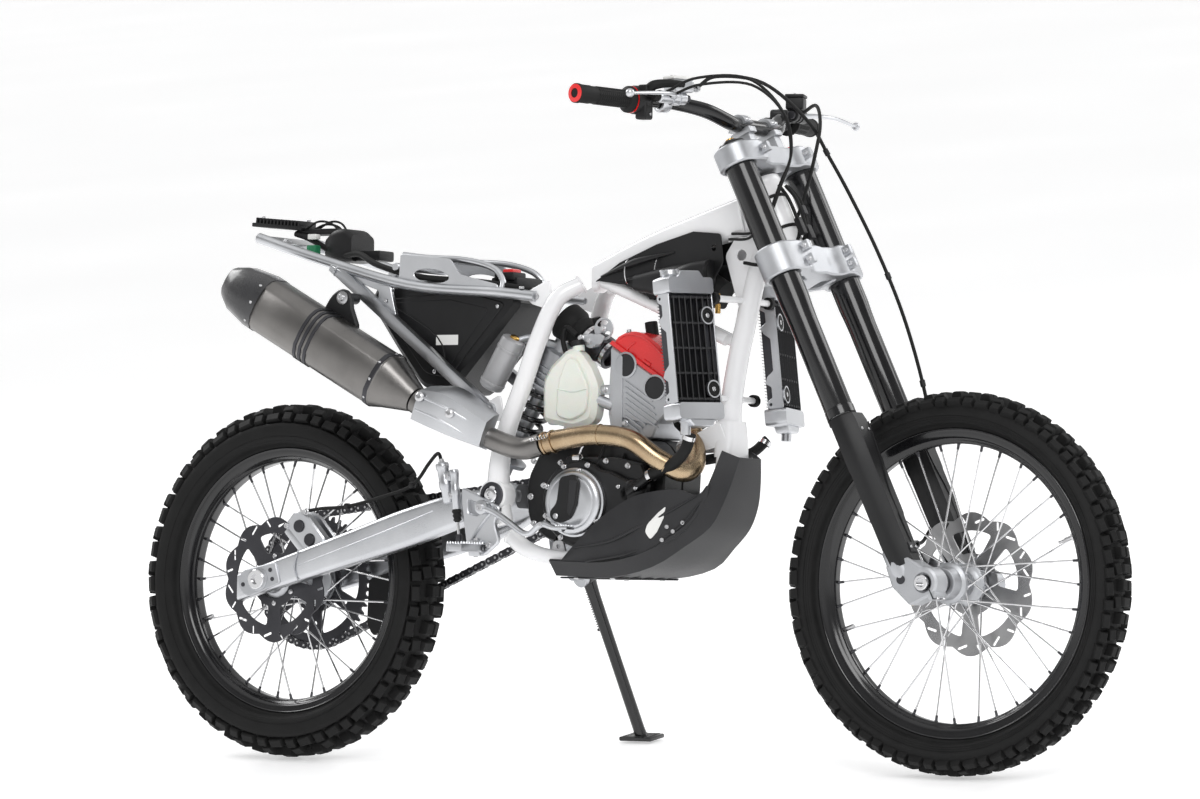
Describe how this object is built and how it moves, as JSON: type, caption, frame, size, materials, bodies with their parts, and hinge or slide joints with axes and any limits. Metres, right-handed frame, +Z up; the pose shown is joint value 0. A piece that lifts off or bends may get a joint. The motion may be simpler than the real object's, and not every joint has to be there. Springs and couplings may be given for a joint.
{
  "type": "dirt bike without bodywork",
  "caption": "Off-road motorcycle stripped of seat, tank and fenders, leaning on its side stand, with steering, turning wheels and a folding stand.",
  "frame": {"origin": "centre of the leaning bike's box, on the ground", "axes": "+Z up, front wheel towards -Y, the bike's left side and its lean towards +X"},
  "size_m": [0.8172, 2.152, 1.2836],
  "materials": {
    "white_paint": "gloss white paint",
    "black_gloss_paint": "gloss black coating",
    "black_plastic": "black moulded plastic",
    "grey_plastic": "dark grey moulded plastic",
    "red_plastic": "red gloss cover",
    "milky_plastic": "milky translucent plastic",
    "rubber": "black rubber",
    "tyre_rubber": "black tyre rubber",
    "aluminium": "satin aluminium",
    "steel": "brushed steel",
    "dark_steel": "dark treated steel",
    "titanium": "titanium grey",
    "header_metal": "heat-tinted golden brown"
  },
  "bodies": {
    "chassis": {"frame_spine": "white_paint", "frame_downtube": "white_paint", "frame_cradle_right": "white_paint", "frame_cradle_left": "white_paint", "frame_upright_right": "white_paint", "frame_upright_left": "white_paint", "subframe_right": "aluminium", "subframe_left": "aluminium", "swingarm": "aluminium", "rear_axle": "steel", "shock_absorber": "aluminium", "crankcase": "black_gloss_paint", "clutch_cover": "aluminium", "ignition_cover": "black_gloss_paint", "cylinder": "aluminium", "cam_cover": "red_plastic", "throttle_body": "dark_steel", "intake_duct": "black_plastic", "airbox": "black_plastic", "catch_tank": "milky_plastic", "radiator_right": "aluminium", "radiator_left": "aluminium", "skid_plate": "grey_plastic", "exhaust_header": "header_metal", "exhaust_mid_pipe": "titanium", "muffler": "titanium", "footpeg_right": "aluminium", "footpeg_left": "aluminium", "brake_pedal": "aluminium", "shift_lever": "steel", "rear_master_cylinder": "aluminium", "rear_caliper": "aluminium", "drive_chain": "dark_steel", "chain_guide": "black_plastic", "tail_electronics": "black_plastic"},
    "steering": {"upper_clamp": "aluminium", "lower_clamp": "aluminium", "fork_tube_right": "black_gloss_paint", "fork_tube_left": "black_gloss_paint", "fork_leg_right": "black_plastic", "fork_leg_left": "black_plastic", "front_axle": "steel", "handlebar": "black_gloss_paint", "grip_right": "rubber", "grip_left": "rubber", "brake_master_cylinder": "aluminium", "clutch_master_cylinder": "black_plastic", "front_caliper": "dark_steel", "front_brake_hose": "rubber"},
    "front_wheel": {"front_tyre": "tyre_rubber", "front_rim": "black_gloss_paint", "front_hub": "aluminium", "front_disc": "steel"},
    "rear_wheel": {"rear_tyre": "tyre_rubber", "rear_rim": "black_gloss_paint", "rear_hub": "aluminium", "rear_disc": "dark_steel", "rear_sprocket": "dark_steel"},
    "stand": {"side_stand": "black_gloss_paint"}
  },
  "joints": [
    {"name": "steering_turn", "type": "hinge", "parent": "chassis", "child": "steering", "pos_m": [-0.01644, -0.29025, 1.10048], "axis": [0.1483, 0.4384, 0.8865], "range_deg": [-40, 40]},
    {"name": "front_wheel_spin", "type": "hinge", "parent": "steering", "child": "front_wheel", "pos_m": [-0.14311, -0.72925, 0.3435], "axis": [0.9863, 0, -0.165], "continuous": true},
    {"name": "rear_wheel_spin", "type": "hinge", "parent": "chassis", "child": "rear_wheel", "pos_m": [-0.14418, 0.73575, 0.33709], "axis": [0.9863, 0, -0.165], "continuous": true},
    {"name": "side_stand_fold", "type": "hinge", "parent": "chassis", "child": "stand", "pos_m": [0.00607, 0.16825, 0.32614], "axis": [0.9686, -0.1062, 0.2248], "range_deg": [0, 100]}
  ]
}
